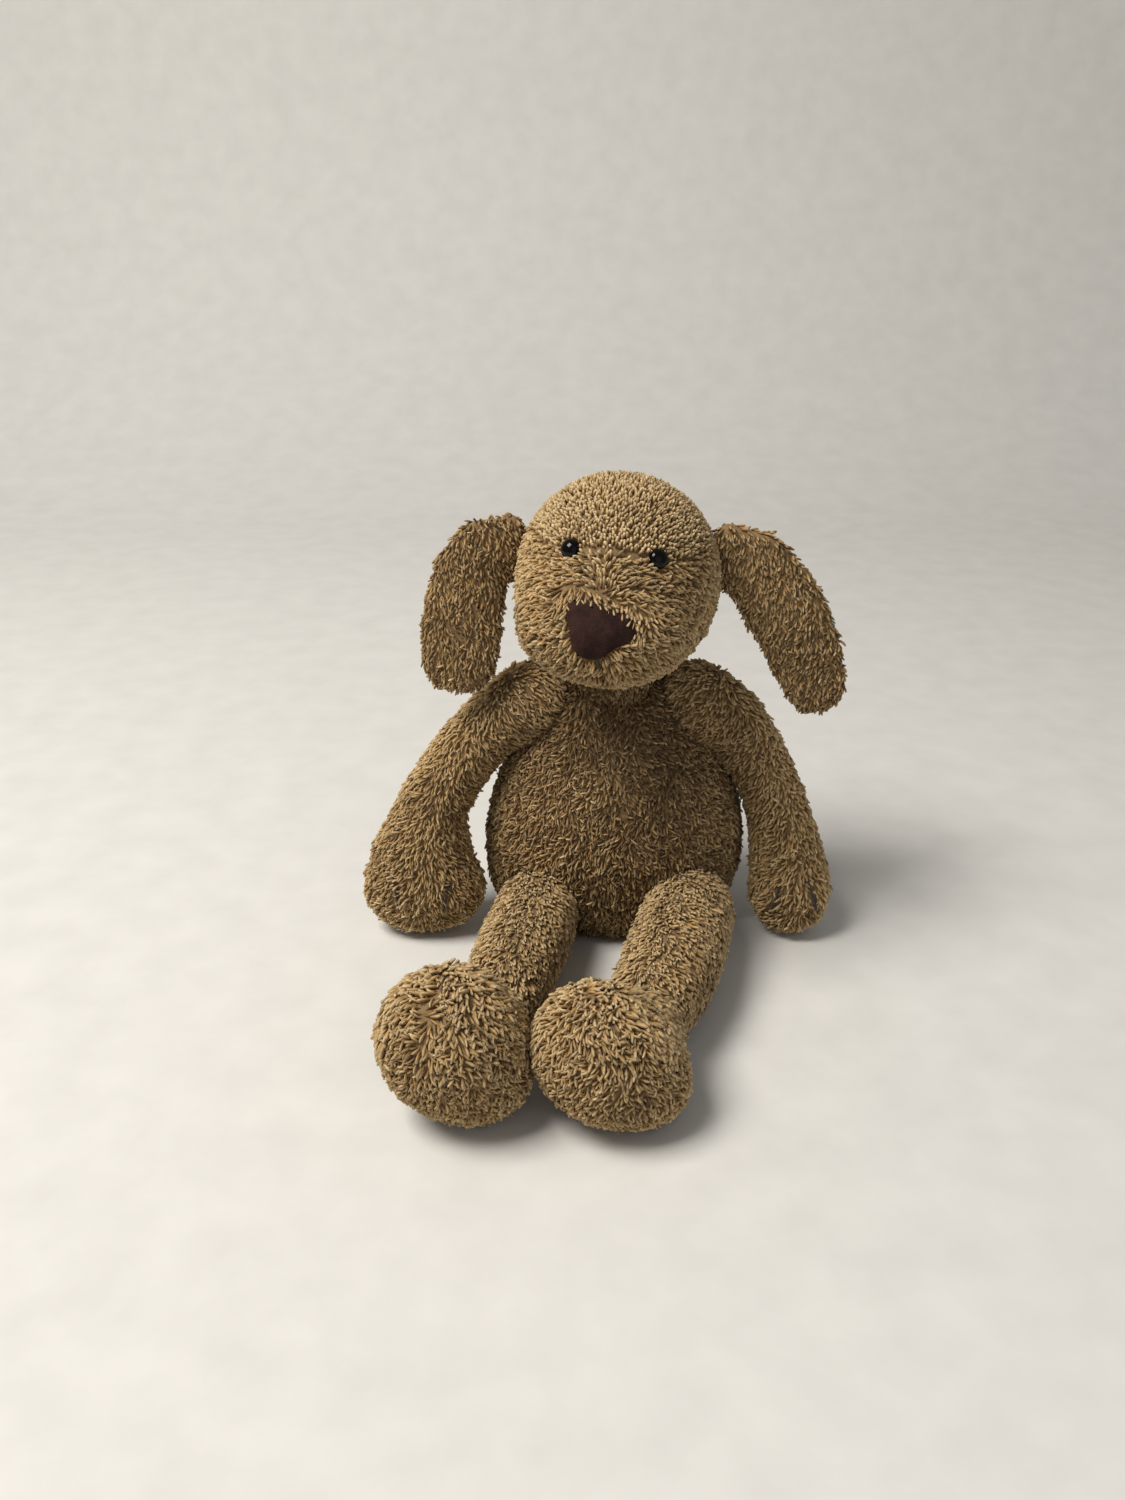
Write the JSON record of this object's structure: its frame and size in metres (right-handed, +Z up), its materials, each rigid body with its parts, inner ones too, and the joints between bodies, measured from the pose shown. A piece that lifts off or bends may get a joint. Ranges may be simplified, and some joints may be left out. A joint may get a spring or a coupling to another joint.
{
  "type": "plush dog",
  "caption": "Seated stuffed plush dog with a turning head, floppy ears, swinging arms and legs, bending feet and a tail.",
  "frame": {"origin": "middle of the flat seat, on the surface the dog sits on", "axes": "+Z up, the dog faces -Y, +X is the dog's own left"},
  "size_m": [0.2311, 0.2615, 0.2293],
  "materials": {
    "plush_fur": "short curled pile, brown with light tips",
    "dark_plush": "the same pile, shaded and flattened",
    "filling": "white polyester fibre",
    "pellet_cloth": "plain cotton bag of pellets",
    "nose_suede": "dark brown suede",
    "thread": "matt dark embroidery thread",
    "eye_plastic": "polished black",
    "washer_plastic": "moulded white"
  },
  "bodies": {
    "torso": {"belly_panel": "plush_fur", "back_panel_left": "plush_fur", "back_panel_right": "plush_fur", "base_panel": "dark_plush", "body_stuffing": "filling", "pellet_bag": "pellet_cloth"},
    "neck": {"neck_stuffing": "filling"},
    "head": {"crown_panel": "plush_fur", "face_panel_left": "plush_fur", "face_panel_right": "plush_fur", "head_back_panel_left": "plush_fur", "head_back_panel_right": "plush_fur", "head_stuffing": "filling", "nose_patch": "nose_suede", "mouth_stitch": "thread", "eye_left": "eye_plastic", "eye_right": "eye_plastic", "eye_washer_left": "washer_plastic", "eye_washer_right": "washer_plastic"},
    "ear_left": {"ear_left_front_panel": "plush_fur", "ear_left_back_panel": "plush_fur"},
    "ear_right": {"ear_right_front_panel": "plush_fur", "ear_right_back_panel": "plush_fur"},
    "arm_left": {"arm_left_front_panel": "plush_fur", "arm_left_back_panel": "plush_fur", "arm_left_stuffing": "filling", "toe_stitch_left_1": "thread", "toe_stitch_left_2": "thread"},
    "arm_right": {"arm_right_front_panel": "plush_fur", "arm_right_back_panel": "plush_fur", "arm_right_stuffing": "filling", "toe_stitch_right_1": "thread", "toe_stitch_right_2": "thread"},
    "leg_left": {"leg_left_top_panel": "plush_fur", "leg_left_under_panel": "plush_fur", "leg_left_stuffing": "filling"},
    "leg_right": {"leg_right_top_panel": "plush_fur", "leg_right_under_panel": "plush_fur", "leg_right_stuffing": "filling"},
    "foot_left": {"foot_left_upper_panel": "plush_fur", "foot_left_sole_panel": "plush_fur", "foot_left_stuffing": "filling"},
    "foot_right": {"foot_right_upper_panel": "plush_fur", "foot_right_sole_panel": "plush_fur", "foot_right_stuffing": "filling"},
    "tail": {"tail_left_panel": "plush_fur", "tail_right_panel": "plush_fur", "tail_stuffing": "filling"}
  },
  "joints": [
    {"name": "neck_turn", "type": "hinge", "parent": "torso", "child": "neck", "pos_m": [0, -0.008, 0.129], "axis": [0, 0, 1], "range_deg": [-15, 15], "stiffness_Nm_per_rad": 0.12},
    {"name": "head_nod", "type": "hinge", "parent": "neck", "child": "head", "pos_m": [0, -0.008, 0.129], "axis": [1, 0, 0], "range_deg": [-12, 12], "stiffness_Nm_per_rad": 0.25},
    {"name": "ear_swing_left", "type": "hinge", "parent": "head", "child": "ear_left", "pos_m": [0.046, -0.011, 0.191], "axis": [0.2402, 0, -0.9707], "range_deg": [-25, 25]},
    {"name": "ear_swing_right", "type": "hinge", "parent": "head", "child": "ear_right", "pos_m": [-0.046, -0.011, 0.195], "axis": [-0.2402, 0, -0.9707], "range_deg": [-25, 25]},
    {"name": "arm_swing_left", "type": "hinge", "parent": "torso", "child": "arm_left", "pos_m": [0.04, -0.008, 0.119], "axis": [1, 0, 0], "range_deg": [-40, 10]},
    {"name": "arm_swing_right", "type": "hinge", "parent": "torso", "child": "arm_right", "pos_m": [-0.04, -0.008, 0.119], "axis": [1, 0, 0], "range_deg": [-40, 10]},
    {"name": "leg_lift_left", "type": "hinge", "parent": "torso", "child": "leg_left", "pos_m": [0.037, -0.044, 0.0212], "axis": [1, 0, 0], "range_deg": [-25, 30]},
    {"name": "leg_lift_right", "type": "hinge", "parent": "torso", "child": "leg_right", "pos_m": [-0.037, -0.044, 0.0212], "axis": [1, 0, 0], "range_deg": [-25, 30]},
    {"name": "foot_bend_left", "type": "hinge", "parent": "leg_left", "child": "foot_left", "pos_m": [0.008, -0.138, 0.0242], "axis": [1, 0, 0], "range_deg": [-15, 15], "stiffness_Nm_per_rad": 0.06},
    {"name": "foot_bend_right", "type": "hinge", "parent": "leg_right", "child": "foot_right", "pos_m": [-0.056, -0.136, 0.0242], "axis": [1, 0, 0], "range_deg": [-15, 15], "stiffness_Nm_per_rad": 0.06},
    {"name": "tail_wag", "type": "hinge", "parent": "torso", "child": "tail", "pos_m": [0, 0.043, 0.018], "axis": [0, 0, 1], "range_deg": [-25, 25]}
  ]
}
